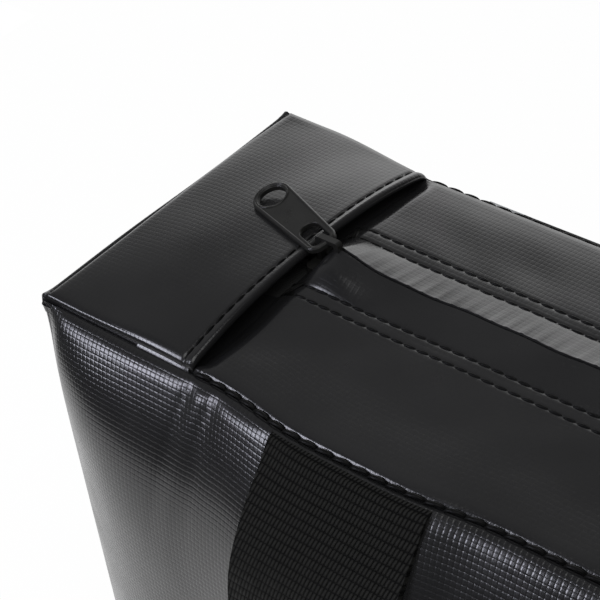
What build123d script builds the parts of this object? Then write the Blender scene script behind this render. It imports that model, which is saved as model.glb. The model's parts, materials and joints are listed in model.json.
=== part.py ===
"""Fire-resistant battery bag: a padded box of coated fabric with a hidden zip along its top and a webbing
carry handle on each long side.

Frame: the origin is on the floor under the middle of the base. +X runs along the zip, away from its closed
end, Y runs across the bag and Z is up. Lengths are in millimetres and angles in degrees.
"""

import os
from math import cos, hypot, radians, sin, tan

from build123d import *

# ---- Driving dimensions: the box ----
bag_length = 300.0  # between the seams of the two ends
bag_width = 77.0  # between the front and the back top seam
bag_height = 155.0  # floor to the top seams
side_bulge = 15.0  # how far the padded front and back swell out between their seams
side_turn = 62.0  # height over which they swell to that, above the base and below the top seams
plan_turn = 60.0  # length over which they swell to their plan's limit, from the two ends
end_bulge = 4.0  # how far the two ends bow out
bow_ratio = 1.2  # bow of a wall seen from above over its bow in height, which limits it at the middle

# ---- Layers of the wall, from outside to inside ----
skin = 1.0  # coated woven fabric
wall_padding = 3.0
wall_lining = 0.8
flap_padding = 2.5
flap_lining = 0.6

# ---- Top: yokes and flaps ----
yoke_length = 41.8  # end seam to the folded edge of the yoke
yoke_crown = 5.8  # rise of the folded edge above the top seams, at the middle
yoke_slope_ratio = 1.05  # rise of the yoke's slope at its fold over the crown, which limits it there
yoke_middle_rise = 0.55  # share of that slope's rise that is reached halfway along the yoke
fold_width = 2.6  # width of the folded edge strip
flap_rise = 2.2  # rise of a flap from its seam to its inner stitch row
stitch_row = 8.4  # inner stitch row to the middle of the zip
lip_shoulder = 6.2  # where the lip turns flat over the slider, from the middle of the zip
shoulder_rise = 4.1  # height of the lip's shoulder above the top seams
lip_rise = 4.7  # height of the lip's edge above the top seams
lip_gap = 1.0  # lip edge to the middle of the zip
seam_gap = 0.3  # clearance between a moving flap and the walls that it is sewn to
fixed_flap = 14.0  # length of flap beside each yoke that stays closed
flap_tongue = 8.0  # how far a flap's end runs under the yoke
tongue_edge = 26.0  # outer edge of that tongue, from the middle of the zip
padding_edge = 17.0  # inner edge of the flap padding, from the middle of the zip

# ---- Zip ----
tape_outer = 16.0  # half the width of the zip with both its tapes
tape = 0.5  # tape thickness
coil_inner = 0.7  # inner edge of a coil, from the middle of the zip
coil_width = 1.5
coil_height = 1.8
coil_clearance = 0.15  # coil to slider plate
coil_round = 0.6
slider_length = 10.0
slider_width = 8.0
slider_plate = 1.1
slider_corner = 1.5  # corner radius of the plates
bail_offset = 1.0  # the plates reach this much further ahead of the bail than behind it
slider_flange = 0.5  # width of the flanges at the slider's long edges
flange_drop = 0.5  # how far a flange reaches towards the tape
slider_neck = 0.8  # width of the wedge that parts the coils
neck_length = 2.5
stop_length = 3.0
stop_gap = 0.4  # slider to a stop when the zip is fully closed or fully open
stop_margin = 0.2  # how much a stop is taller than the coil

# ---- Slider bail and pull tab ----
bail_from_fold = 3.4  # middle of the bail to the yoke's folded edge, zip closed
bail_width = 1.5
bail_leg = 1.2
bail_bar = 0.9
bail_opening = 3.6  # clear length of the bail along the zip
bail_round = 0.8
tab_thickness = 1.2
tab_bar = 1.0  # the tab's cross bar inside the bail
tab_length = 22.6  # cross bar to the middle of the round hole
tab_end_radius = 4.3
tab_hole_radius = 3.0
tab_foot_half = 3.5  # half the tab's width at the cross bar
tab_foot_round = 2.6
window_half = 2.5  # half the width of the window over the cross bar
window_side = 3.1  # length of the window's straight sides
window_round = 1.4
tab_yaw = 28.0  # the tab lies this far from the zip's direction
tab_tilt = 4.0  # and falls this much towards its free end
tab_clearance = 0.5  # tab to the yoke's folded edge
turn_clearance = 0.15  # the tab's turning cross bar to the bail
tab_edge_round = 0.25

# ---- Carry handles ----
webbing_width = 38.0
webbing = 1.6  # thickness
handle_legs = 130.0  # between the middles of the two legs
handle_drop = 50.0  # straight length of a leg
handle_gap = 0.4  # webbing to the widest part of the wall

# ---- Values that follow from the driving dimensions ----
half_length = bag_length / 2
half_width = bag_width / 2
middle_z = bag_height / 2
wall_depth = skin + wall_padding + wall_lining
flap_depth = skin + flap_padding + flap_lining
fold_x = yoke_length - half_length  # the left yoke's folded edge
flap_start = fold_x + fixed_flap
moving_length = -2 * flap_start
tape_top = bag_height + flap_rise - skin
coil_middle = tape_top - tape / 2
plate_gap = coil_height + 2 * coil_clearance
plate_top = coil_middle + plate_gap / 2 + slider_plate
bail_x = fold_x + bail_from_fold
slider_x = bail_x + bail_offset  # middle of the slider's plates
stop_x = slider_x - slider_length / 2 - stop_gap - stop_length / 2
tape_end_x = stop_x - stop_length / 2 - stop_gap
tab_run = bail_from_fold / cos(radians(tab_yaw))
bar_rise = yoke_crown + tab_clearance + tab_thickness / 2 + tab_run * tan(radians(tab_tilt))
bar_z = bag_height + bar_rise  # height of the tab's cross bar, where the tab turns
bail_clear = hypot(tab_thickness, tab_bar) / 2 + turn_clearance  # cross bar's middle to the bail's bar
cut_margin = 2 * max(side_bulge, end_bulge, yoke_crown, lip_rise)
slab = bag_length + bag_width + bag_height  # longer than the bag in every direction

slider_travel = -stop_x - stop_length / 2 - stop_gap - slider_length / 2 - slider_x


# ---- Box panels: every face has a skin, a padding and a lining, mitred along the seams ----
def swollen_side(edge_y, low, high):
    """Line of a padded long side in the YZ plane: it swells away from its two seams at edge_y."""
    wide_y = edge_y + (side_bulge if edge_y > 0 else -side_bulge)
    TangentArc((wide_y, low + side_turn), (edge_y, low), tangent=(0, -1))
    Line((wide_y, low + side_turn), (wide_y, high - side_turn))
    TangentArc((wide_y, high - side_turn), (edge_y, high), tangent=(0, 1))


def puffed_box(inset):
    """The padded box, this far inside its outer surface: faces bow out between straight seams."""
    long_half, wide_half = half_length - inset, half_width - inset
    low, high = inset, bag_height - inset
    bowed_x = long_half + end_bulge * bow_ratio
    bowed_y = wide_half + side_bulge * bow_ratio
    with BuildPart() as box:
        with BuildSketch(Plane.YZ):
            with BuildLine():
                Line((-wide_half, low), (wide_half, low))
                swollen_side(wide_half, low, high)
                Line((wide_half, high), (-wide_half, high))
                swollen_side(-wide_half, low, high)
            make_face()
        extrude(amount=slab, both=True)
        with BuildSketch(Plane.XY):
            with BuildLine():
                for way in (-1, 1):
                    turn_x, wide_y = long_half - plan_turn, way * bowed_y
                    TangentArc((-turn_x, wide_y), (-long_half, way * wide_half), tangent=(-1, 0))
                    Line((-turn_x, wide_y), (turn_x, wide_y))
                    TangentArc((turn_x, wide_y), (long_half, way * wide_half), tangent=(1, 0))
                    ThreePointArc((way * long_half, -wide_half), (way * bowed_x, 0), (way * long_half, wide_half))
            make_face()
        extrude(amount=slab, both=True, mode=Mode.INTERSECT)
        with BuildSketch(Plane.XZ):
            with BuildLine():
                ThreePointArc((long_half, low), (long_half + end_bulge, middle_z), (long_half, high))
                Polyline((long_half, high), (long_half, slab), (-long_half, slab), (-long_half, high))
                ThreePointArc((-long_half, high), (-long_half - end_bulge, middle_z), (-long_half, low))
                Polyline((-long_half, low), (-long_half, -slab), (long_half, -slab), (long_half, low))
            make_face()
        extrude(amount=slab, both=True, mode=Mode.INTERSECT)
    return box.part


def shell(outside, inside):
    """What lies between two closed boxes."""
    with BuildPart() as layer:
        add(outside)
        add(inside, mode=Mode.SUBTRACT)
    return layer.part


def face_wedge(face_plane, run, rise):
    """All that is nearer to one face of the box than to its neighbours, bounded by 45 degree mitres."""
    depth = wall_depth + skin
    with BuildPart() as wedge:
        with BuildSketch(face_plane.offset(cut_margin)):
            Rectangle(run + 2 * cut_margin, rise + 2 * cut_margin)
        with BuildSketch(face_plane.offset(-depth)):
            Rectangle(run - 2 * depth, rise - 2 * depth)
        loft(ruled=True)
    return wedge.part


front_plane = Plane((0, -half_width, middle_z), x_dir=(1, 0, 0), z_dir=(0, -1, 0))
back_plane = Plane((0, half_width, middle_z), x_dir=(1, 0, 0), z_dir=(0, 1, 0))
left_plane = Plane((-half_length, 0, middle_z), x_dir=(0, 1, 0), z_dir=(-1, 0, 0))
right_plane = Plane((half_length, 0, middle_z), x_dir=(0, 1, 0), z_dir=(1, 0, 0))
bottom_plane = Plane((0, 0, 0), x_dir=(1, 0, 0), z_dir=(0, 0, -1))
top_plane = Plane((0, 0, bag_height), x_dir=(1, 0, 0), z_dir=(0, 0, 1))
top_wedge = face_wedge(top_plane, bag_length, bag_width)

faces = {
    "front": face_wedge(front_plane, bag_length, bag_height),
    "back": face_wedge(back_plane, bag_length, bag_height),
    "left_end": face_wedge(left_plane, bag_width, bag_height),
    "right_end": face_wedge(right_plane, bag_width, bag_height),
    "bottom": face_wedge(bottom_plane, bag_length, bag_width),
}
layers = {
    "panel": shell(puffed_box(0), puffed_box(skin)),
    "padding": shell(puffed_box(skin), puffed_box(skin + wall_padding)),
    "lining": shell(puffed_box(skin + wall_padding), puffed_box(wall_depth)),
}

os.makedirs("parts", exist_ok=True)

for face_name, wedge in faces.items():
    for layer_name, layer in layers.items():
        with BuildPart() as wall_piece:
            add(layer)
            add(wedge, mode=Mode.INTERSECT)
        wall_piece.part.label = f"{face_name}_{layer_name}"
        export_step(wall_piece.part, f"parts/{face_name}_{layer_name}.step")


# ---- Yokes: crowned end panels of the top, doubled along their folded edge ----
def below_yoke(drop):
    """The solid under the left yoke's crowned surface, lowered by drop."""
    base = bag_height - slab
    edge = bag_height - drop
    half_x = (fold_x - half_length) / 2
    end_rise = yoke_crown * yoke_slope_ratio
    with BuildPart() as solid:
        with BuildSketch(Plane.YZ):
            with BuildLine():
                ThreePointArc((-half_width, edge), (0, edge + yoke_crown), (half_width, edge))
                Polyline((half_width, edge), (half_width, base), (-half_width, base), (-half_width, edge))
            make_face()
        extrude(amount=slab, both=True)
        with BuildSketch(Plane.XZ):
            with BuildLine():
                Polyline((fold_x, edge + end_rise), (fold_x, 0), (-half_length, 0), (-half_length, edge))
                ThreePointArc(
                    (-half_length, edge),
                    (half_x, edge + end_rise * yoke_middle_rise),
                    (fold_x, edge + end_rise),
                )
            make_face()
        extrude(amount=slab, both=True, mode=Mode.INTERSECT)
    return solid.part


with BuildPart() as folded_strip:
    add(below_yoke(skin))
    add(below_yoke(2 * skin), mode=Mode.SUBTRACT)
    split(bisect_by=Plane.YZ.offset(fold_x - fold_width), keep=Keep.TOP)

with BuildPart() as left_yoke:
    add(below_yoke(0))
    add(below_yoke(skin), mode=Mode.SUBTRACT)
    add(folded_strip.part)
    add(top_wedge, mode=Mode.INTERSECT)
left_yoke.part.label = "left_yoke"
export_step(left_yoke.part, "parts/left_yoke.step")

with BuildPart() as right_yoke:
    mirror(left_yoke.part, about=Plane.YZ)
right_yoke.part.label = "right_yoke"
export_step(right_yoke.part, "parts/right_yoke.step")


def yoke_layer(top_depth, thickness):
    """A flat layer under the left yoke that also borders the flaps' closed ends, clear of the zip."""
    end_x = flap_start - seam_gap
    slot_x = tape_end_x - seam_gap
    with BuildPart() as layer_piece:
        with BuildSketch(Plane.XY.offset(bag_height - top_depth)):
            with Locations(((end_x - half_length) / 2, 0)):
                Rectangle(end_x + half_length, bag_width)
            with Locations(((slot_x + end_x) / 2, 0)):
                Rectangle(end_x - slot_x, 2 * padding_edge, mode=Mode.SUBTRACT)
        extrude(amount=-thickness)
        add(top_wedge, mode=Mode.INTERSECT)
        add(left_yoke.part, mode=Mode.SUBTRACT)
    return layer_piece.part


for layer_name, top_depth, thickness in (
    ("padding", skin, flap_padding),
    ("lining", skin + flap_padding, flap_lining),
):
    with BuildPart() as left_layer:
        add(yoke_layer(top_depth, thickness))
    left_layer.part.label = f"left_yoke_{layer_name}"
    export_step(left_layer.part, f"parts/left_yoke_{layer_name}.step")
    with BuildPart() as right_layer:
        mirror(left_layer.part, about=Plane.YZ)
    right_layer.part.label = f"right_yoke_{layer_name}"
    export_step(right_layer.part, f"parts/right_yoke_{layer_name}.step")


# ---- Flaps and zip: one section across the front half of the top, run along X ----
def slope_z(y, depth):
    """Height of the flap's slope at distance y from the middle of the zip, this deep under its surface."""
    seam_y = half_width - seam_gap - depth
    share = (seam_y - y) / (seam_y - stitch_row)
    return bag_height - depth + share * flap_rise


def flap_line(depth):
    """Line from the front seam to the lip, this deep under the flap's surface."""
    return [
        (-(half_width - seam_gap - depth), bag_height - depth),
        (-stitch_row, bag_height + flap_rise - depth),
        (-lip_shoulder, bag_height + shoulder_rise - depth),
        (-lip_gap, bag_height + lip_rise - depth),
    ]


def under_flap(top_depth, thickness):
    """Section of a layer under the flap, from the seam to the padding's inner edge."""
    low_depth = top_depth + thickness
    return [
        (-(half_width - seam_gap - top_depth), bag_height - top_depth),
        (-padding_edge, slope_z(padding_edge, top_depth)),
        (-padding_edge, slope_z(padding_edge, low_depth)),
        (-(half_width - seam_gap - low_depth), bag_height - low_depth),
    ]


coil_outer = coil_inner + coil_width
skin_section = flap_line(0) + flap_line(skin)[::-1]
tongue_section = [
    (-tongue_edge, slope_z(tongue_edge, 0)),
    (-stitch_row, bag_height + flap_rise),
    (-stitch_row, bag_height + flap_rise - skin),
    (-tongue_edge, slope_z(tongue_edge, skin)),
]
tape_section = [
    (-tape_outer, slope_z(tape_outer, skin)),
    (-stitch_row, tape_top),
    (-coil_outer, tape_top),
    (-coil_outer, tape_top - tape),
    (-stitch_row, tape_top - tape),
    (-tape_outer, slope_z(tape_outer, skin) - tape),
]


def run_along(section, start_x, end_x):
    """A front section carried along the zip from one X to another."""
    with BuildPart() as piece:
        with BuildSketch(Plane.YZ.offset(start_x)):
            with BuildLine():
                Polyline(*section, close=True)
            make_face()
        extrude(amount=end_x - start_x)
    return piece.part


def coil_run(start_x, end_x):
    """The front coil, as the round-cornered bar that its turns fill."""
    with BuildPart() as piece:
        with BuildSketch(Plane.YZ.offset(start_x)):
            with Locations((-coil_inner - coil_width / 2, coil_middle)):
                RectangleRounded(coil_width, coil_height, coil_round)
        extrude(amount=end_x - start_x)
    return piece.part


moving_pieces = {
    "flap": run_along(skin_section, flap_start, -flap_start),
    "flap_padding": run_along(under_flap(skin, flap_padding), flap_start, -flap_start),
    "flap_lining": run_along(under_flap(skin + flap_padding, flap_lining), flap_start, -flap_start),
    "zip_tape": run_along(tape_section, flap_start, -flap_start),
    "zip_coil": coil_run(flap_start, -flap_start),
}
for piece_name, front_piece in moving_pieces.items():
    with BuildPart() as front_half:
        add(front_piece)
    front_half.part.label = f"front_{piece_name}"
    export_step(front_half.part, f"parts/front_{piece_name}.step")
    with BuildPart() as back_half:
        mirror(front_piece, about=Plane.XZ)
    back_half.part.label = f"back_{piece_name}"
    export_step(back_half.part, f"parts/back_{piece_name}.step")

# ---- Closed ends of the flaps and of the zip, sewn to the yokes ----
fixed_end_x = flap_start - seam_gap
coil_start_x = stop_x + stop_length / 2

with BuildPart() as left_flap_end:
    add(run_along(skin_section, fold_x, fixed_end_x))
    add(run_along(tongue_section, fold_x - flap_tongue, fold_x))

closed_ends = {
    "flap_ends": left_flap_end.part,
    "zip_tape_ends": run_along(tape_section, tape_end_x, fixed_end_x),
    "zip_coil_ends": coil_run(coil_start_x, fixed_end_x),
}
for piece_name, front_piece in closed_ends.items():
    for side, about in (("left", None), ("right", Plane.YZ)):
        with BuildPart() as end_pair:
            add(front_piece)
            mirror(about=Plane.XZ)
            if about:
                mirror(about=about, mode=Mode.REPLACE)
        end_pair.part.label = f"{side}_{piece_name}"
        export_step(end_pair.part, f"parts/{side}_{piece_name}.step")

with BuildPart() as top_stops:
    with Locations((stop_x, -coil_inner - coil_width / 2, coil_middle)):
        Box(stop_length, coil_width, coil_height + stop_margin)
    fillet(top_stops.edges().filter_by(Axis.X), coil_round)
    mirror(about=Plane.XZ)
top_stops.part.label = "zip_top_stops"
export_step(top_stops.part, "parts/zip_top_stops.step")

with BuildPart() as bottom_stop:
    with Locations((-stop_x, 0, coil_middle)):
        Box(stop_length, 2 * coil_outer, coil_height + stop_margin)
    fillet(bottom_stop.edges().filter_by(Axis.X), coil_round)
bottom_stop.part.label = "zip_bottom_stop"
export_step(bottom_stop.part, "parts/zip_bottom_stop.step")

# ---- Slider: two plates joined by the wedge that parts the coils, with the bail on top ----
upper_face = coil_middle + plate_gap / 2
lower_face = coil_middle - plate_gap / 2
bail_top = bar_z + bail_clear + bail_bar

with BuildPart() as slider_body:
    for plate_face, direction in ((upper_face, 1), (lower_face, -1)):
        with BuildSketch(Plane.XY.offset(plate_face)):
            with Locations((slider_x, 0)):
                RectangleRounded(slider_length, slider_width, slider_corner)
        extrude(amount=direction * slider_plate)
        with BuildSketch(Plane.XY.offset(plate_face)):
            for edge_y in (-1, 1):
                with Locations((slider_x, edge_y * (slider_width - slider_flange) / 2)):
                    Rectangle(slider_length - 2 * slider_corner, slider_flange)
        extrude(amount=-direction * flange_drop)
    with BuildSketch(Plane.XY.offset(lower_face)):
        with Locations((slider_x - (slider_length - neck_length) / 2, 0)):
            Rectangle(neck_length, slider_neck)
    extrude(amount=plate_gap)
    with BuildSketch(Plane.XZ.offset(-bail_width / 2)):
        with Locations((bail_x, (plate_top + bail_top) / 2)):
            bail_outline = Rectangle(bail_opening + 2 * bail_leg, bail_top - plate_top)
        fillet(bail_outline.vertices().group_by(Axis.Y)[-1], bail_round)
        with Locations((bail_x, (plate_top + bail_top - bail_bar) / 2)):
            Rectangle(bail_opening, bail_top - bail_bar - plate_top, mode=Mode.SUBTRACT)
    extrude(amount=bail_width)
slider_body.part.label = "slider_body"
export_step(slider_body.part, "parts/slider_body.step")

# ---- Pull tab: a flat plate with a round hole, hooked under the bail by its cross bar ----
yaw, tilt = radians(tab_yaw), radians(tab_tilt)
tab_plane = Plane(
    (bail_x, 0, bar_z),
    x_dir=(-cos(yaw) * cos(tilt), sin(yaw) * cos(tilt), -sin(tilt)),
    z_dir=(-cos(yaw) * sin(tilt), sin(yaw) * sin(tilt), cos(tilt)),
)
foot_y = tab_foot_half - tab_foot_round
window_start = tab_bar / 2

with BuildPart() as pull_tab:
    with BuildSketch(tab_plane.offset(-tab_thickness / 2)):
        with Locations((tab_length, 0)):
            Circle(tab_end_radius)
        with Locations((tab_foot_round - tab_bar / 2, -foot_y), (tab_foot_round - tab_bar / 2, foot_y)):
            Circle(tab_foot_round)
        make_hull()
    extrude(amount=tab_thickness)
    fillet(pull_tab.faces().group_by(SortBy.AREA)[-1].edges(), tab_edge_round)
    with BuildSketch(tab_plane.offset(-tab_thickness / 2)):
        with Locations((tab_length, 0)):
            Circle(tab_hole_radius)
        with Locations((window_start + window_side / 2, 0)):
            window = Rectangle(window_side, 2 * window_half)
        fillet(window.vertices().group_by(Axis.X)[0], window_round)
        with Locations((window_start + window_side, 0)):
            Circle(window_half)
    extrude(amount=tab_thickness, mode=Mode.SUBTRACT)
pull_tab.part.label = "pull_tab"
export_step(pull_tab.part, "parts/pull_tab.step")

# ---- Carry handles: webbing that hangs from the top seam in a U against the bulging wall ----
handle_y = half_width + handle_gap  # inner face of the webbing at the top seam
leg_x = handle_legs / 2

with BuildPart() as front_handle:
    with BuildSketch(Plane.XZ):
        for radius, mode in ((leg_x + webbing_width / 2, Mode.ADD), (leg_x - webbing_width / 2, Mode.SUBTRACT)):
            with Locations((0, bag_height - seam_gap - handle_drop / 2)):
                Rectangle(2 * radius, handle_drop, mode=mode)
            with Locations((0, bag_height - seam_gap - handle_drop)):
                Circle(radius, mode=mode)
    extrude(amount=slab)
    with BuildSketch(Plane.YZ):
        with BuildLine():
            near, far = -handle_y, -handle_y - webbing
            swollen_side(near, 0, bag_height)
            Line((near, bag_height), (far, bag_height))
            swollen_side(far, 0, bag_height)
            Line((far, 0), (near, 0))
        make_face()
    extrude(amount=slab, both=True, mode=Mode.INTERSECT)
front_handle.part.label = "front_handle"
export_step(front_handle.part, "parts/front_handle.step")

with BuildPart() as back_handle:
    mirror(front_handle.part, about=Plane.XZ)
back_handle.part.label = "back_handle"
export_step(back_handle.part, "parts/back_handle.step")

print("zip slider travel:", round(slider_travel, 3))
print("pull tab axis at:", round(bail_x, 3), round(bar_z, 3))
print("handle axis at:", round(-handle_y - webbing / 2, 3), bag_height)
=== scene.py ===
"""Looks of the battery bag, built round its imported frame. Shapes are worked out in millimetres in the frame
of the CAD part and put into the scene in metres: +X runs along the zip, Y across the bag, Z up."""

import json
import math
from functools import partial

import bpy
import numpy as np
from mathutils import Matrix, Vector


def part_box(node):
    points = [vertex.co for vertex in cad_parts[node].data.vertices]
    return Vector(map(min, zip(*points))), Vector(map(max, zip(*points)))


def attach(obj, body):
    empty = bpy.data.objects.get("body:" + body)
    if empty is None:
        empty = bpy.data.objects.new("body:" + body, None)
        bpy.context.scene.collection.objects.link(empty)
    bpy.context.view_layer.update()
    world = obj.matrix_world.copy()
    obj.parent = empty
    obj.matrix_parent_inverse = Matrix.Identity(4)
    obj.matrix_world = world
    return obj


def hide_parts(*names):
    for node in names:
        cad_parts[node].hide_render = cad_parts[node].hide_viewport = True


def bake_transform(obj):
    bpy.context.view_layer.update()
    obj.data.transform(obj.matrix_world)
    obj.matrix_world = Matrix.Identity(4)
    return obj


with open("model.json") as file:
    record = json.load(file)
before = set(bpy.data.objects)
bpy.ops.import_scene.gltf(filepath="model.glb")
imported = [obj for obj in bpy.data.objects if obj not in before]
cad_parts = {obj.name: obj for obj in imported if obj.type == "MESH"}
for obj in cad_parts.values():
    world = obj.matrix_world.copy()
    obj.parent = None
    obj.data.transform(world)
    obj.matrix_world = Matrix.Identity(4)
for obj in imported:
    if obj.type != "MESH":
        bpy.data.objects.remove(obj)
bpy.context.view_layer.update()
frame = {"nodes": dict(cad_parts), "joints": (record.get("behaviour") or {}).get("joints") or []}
MM = 0.001


def corners(node):
    """Lowest and highest corner of a CAD node, in millimetres."""
    low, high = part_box(node)
    return np.array(low) / MM, np.array(high) / MM


# ---- Places read from the frame ----
SEAM_X, SEAM_Y = corners("bottom_panel")[1][:2]  # half the plan of the box, along its seams
FOLD_X = corners("left_yoke")[1][0]  # folded edge of the left yoke
MOVE_X = corners("front_flap")[0][0]  # where the moving part of a flap starts
TONGUE_X = corners("left_flap_ends")[0][0]
TOP_Z = corners("front_flap")[0][2] + 1.0  # the flap is 1 mm thick at its seam
TAPE_Z = corners("front_zip_tape")[1][2]
COIL_LOW, COIL_HIGH = corners("front_zip_coil")
HANDLE_LOW, HANDLE_HIGH = corners("front_handle")
JOINTS = {joint["name"]: joint for joint in frame["joints"]}

# ---- Sizes of the fabric details, in millimetres ----
SKIN = 1.0
CORNER = 6.0  # length of the upright corners' rounding on each side, below the seam
SEAM_CORNER = 1.0  # the same where the seam pinches them
HEM_CORNER = 3.0  # the same at the base, reached over about this height
GROOVE = 2.6  # depth of the groove along a top seam
WIDE_BULGE, END_BULGE = 15.5, 4.0  # how far the walls puff out
SHOULDER = (6.5, 21.0)  # how slowly they do so under their seam: at the corners and along the sides
HEM_SHOULDER = 17.0  # the same at the base, along the sides
SEAM_PUFF = 1.6  # the front wall's own puff right under its top seam
ROWS = (8.4, 11.6)  # the two stitch rows of a flap, from the middle of the zip
YOKE_HEM = 2.6  # stitch row of the yoke to its folded edge
YOKE_CROWN = 5.0
FOLD_ROUND = 1.0  # half the thickness of the yoke's folded edge
WALL_STAND = 0.35  # the walls stand this far outside the seams, below their groove
WALL_HEM = 8.0  # height at which the walls start to turn under
BASE_INSETS = (2.0, 5.0, 9.0, 14.0, 20.0, 27.0, 34.0, SEAM_Y - 0.4)  # rows of the underside
FAR_DOME = 1.0  # the back flap is fuller than the front one
LIP_FRONT, LIP_BACK = 0.06, 0.14  # gap from the middle of the zip to each lip's edge
FLAP_STITCH = (3.1, 3.0, 0.26)  # pitch, length and radius of the stitches on top
SEAM_STITCH = (4.2, 4.1)  # pitch and length of the thick stitches along the flaps' seams
SEAM_THREAD = {"front": (0.48, 0.35), "back": (0.3, 0.05)}  # their radius and height
COIL_PITCH = 1.3
LEG_SPACING = 130.0  # between the middles of a handle's legs
WEAVE = 1.15  # pitch of the coated fabric's yarns


def smooth(low, high, x):
    """0 before low, 1 after high and an even curve between."""
    share = np.clip((np.asarray(x, float) - low) / (high - low), 0, 1)
    return share * share * (3 - 2 * share)


def hump(middle, width, x, power=2):
    """1 at the middle, falling off on both sides over this width."""
    return np.exp(-(np.abs((np.asarray(x, float) - middle) / width) ** power))


def from_end(x):
    """Distance from the nearer end of the bag."""
    return SEAM_X - np.abs(np.asarray(x, float))


def front_seam(x):
    """How far the front top seam bows out: the handle's leg pulls it most."""
    run = from_end(x)
    return 1.2 * smooth(44, 66, run) + 1.9 * hump(85, 23, run, 4)


def back_seam(x):
    """The back top seam is drawn in along the flaps."""
    return -3.3 * smooth(12, 44, from_end(x))


def seam_at(side, x):
    """Distance of a side's top seam from the middle of the zip."""
    return SEAM_Y + float(front_seam(x) if side == "front" else back_seam(x))


def sign_of(side):
    return -1 if side == "front" else 1


def half_of(mirror):
    """What is built on the left half is mirrored to the right."""
    return "right" if mirror else "left"


# ---- Meshes ----
def put_mesh(name, points, faces, material, uvs=None, sharp=45):
    """A mesh object from points in millimetres, with one UV pair in metres for each point."""
    mesh = bpy.data.meshes.new(name)
    mesh.from_pydata((np.asarray(points, float) * MM).tolist(), [], faces)
    if uvs is not None:
        layer = mesh.uv_layers.new(name="UVMap")
        index = np.zeros(len(mesh.loops), np.int32)
        mesh.loops.foreach_get("vertex_index", index)
        layer.data.foreach_set("uv", (np.asarray(uvs, float)[index] * MM).astype(np.float32).ravel())
    mesh.validate()
    mesh.shade_smooth()
    mesh.set_sharp_from_angle(angle=math.radians(sharp))
    piece = bpy.data.objects.new(name, mesh)
    bpy.context.scene.collection.objects.link(piece)
    piece.data.materials.append(material)
    return piece


def grid_normals(grid):
    """Unit normals of a grid of points, from its two directions."""
    along = np.gradient(grid, axis=0)
    across = np.gradient(grid, axis=1)
    normal = np.cross(along, across)
    return normal / np.maximum(np.linalg.norm(normal, axis=2, keepdims=True), 1e-9)


def grid_faces(rows, columns, start=0, flip=False, ring=False):
    """Quads of a grid of points numbered row by row. A ring's last column joins its first."""
    faces = []
    for i in range(rows - 1):
        for j in range(columns if ring else columns - 1):
            k = (j + 1) % columns
            quad = (start + i * columns + j, start + (i + 1) * columns + j,
                    start + (i + 1) * columns + k, start + i * columns + k)
            faces.append(quad[::-1] if flip else quad)
    return faces


def slab(grid, thickness, uv):
    """Points, faces and UVs of a closed sheet: the grid and a copy of it this far under its surface."""
    rows, columns = grid.shape[:2]
    under = grid - grid_normals(grid) * thickness
    count = rows * columns
    faces = grid_faces(rows, columns) + grid_faces(rows, columns, start=count, flip=True)
    edge = [(i, 0) for i in range(rows)] + [(rows - 1, j) for j in range(1, columns)]
    edge += [(i, columns - 1) for i in range(rows - 2, -1, -1)] + [(0, j) for j in range(columns - 2, 0, -1)]
    ids = [i * columns + j for i, j in edge]
    for a, b in zip(ids, ids[1:] + ids[:1]):
        faces.append((b, a, a + count, b + count))
    points = np.concatenate([grid.reshape(-1, 3), under.reshape(-1, 3)])
    return points, faces, np.concatenate([uv.reshape(-1, 2)] * 2)


def put_sheet(name, grid, uv, thickness, material, mirror):
    """A closed sheet whose outer face looks up, built on the left half or mirrored to the right."""
    if mirror:
        grid = grid * (-1, 1, 1)
    rows, columns = grid.shape[:2]
    if grid_normals(grid)[rows // 2, columns // 2, 2] < 0:
        grid, uv = grid[::-1], uv[::-1]
    points, faces, point_uvs = slab(grid, thickness, uv)
    return put_mesh(name, points, faces, material, point_uvs)


def put_half(name, points, faces, material, mirror, uvs=None):
    """A closed piece built on the left half or mirrored to the right."""
    if mirror:
        points = points * (-1, 1, 1)
        faces = [face[::-1] for face in faces]
    return put_mesh(name, points, faces, material, uvs)


def arc_lengths(grid, axis):
    """Distance along a grid's lines, from their first point."""
    steps = np.linalg.norm(np.diff(grid, axis=axis), axis=2)
    zero = np.zeros_like(np.take(steps, [0], axis=axis))
    return np.cumsum(np.concatenate([zero, steps], axis=axis), axis=axis)


def tube(path, radius, sides=8, ring=False, flat=1.0):
    """Points and faces of a tube along a path, with rounded ends. flat is its height over its width."""
    path = np.asarray(path, float)
    count = len(path)
    tangent = np.gradient(path, axis=0)
    if ring:
        tangent = np.roll(path, -1, axis=0) - np.roll(path, 1, axis=0)
    tangent /= np.linalg.norm(tangent, axis=1, keepdims=True)
    up = np.array([0, 0, 1.0])
    side = np.cross(up, tangent)
    weak = np.linalg.norm(side, axis=1) < 0.1
    side[weak] = np.cross(np.array([0, 1.0, 0]), tangent[weak])
    side /= np.linalg.norm(side, axis=1, keepdims=True)
    rise = np.cross(tangent, side)
    radii = np.broadcast_to(np.asarray(radius, float), (count,))
    turn = 2 * np.pi * np.arange(sides) / sides
    circle = np.cos(turn)[None, :, None] * side[:, None] + flat * np.sin(turn)[None, :, None] * rise[:, None]
    points = (path[:, None] + circle * radii[:, None, None]).reshape(-1, 3)
    faces = grid_faces(count, sides, ring=True)
    if ring:
        last = (count - 1) * sides
        faces += [(last + j, j, (j + 1) % sides, last + (j + 1) % sides) for j in range(sides)]
    else:
        faces += [tuple(range(sides)), tuple(range(count * sides - 1, (count - 1) * sides - 1, -1))]
    return points, [face[::-1] for face in faces]


def join(parts):
    """Points and faces of several closed forms as one mesh's."""
    points, faces, start = [], [], 0
    for part_points, part_faces in parts:
        points.append(part_points)
        faces += [tuple(start + i for i in face) for face in part_faces]
        start += len(part_points)
    return np.concatenate(points), faces


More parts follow.
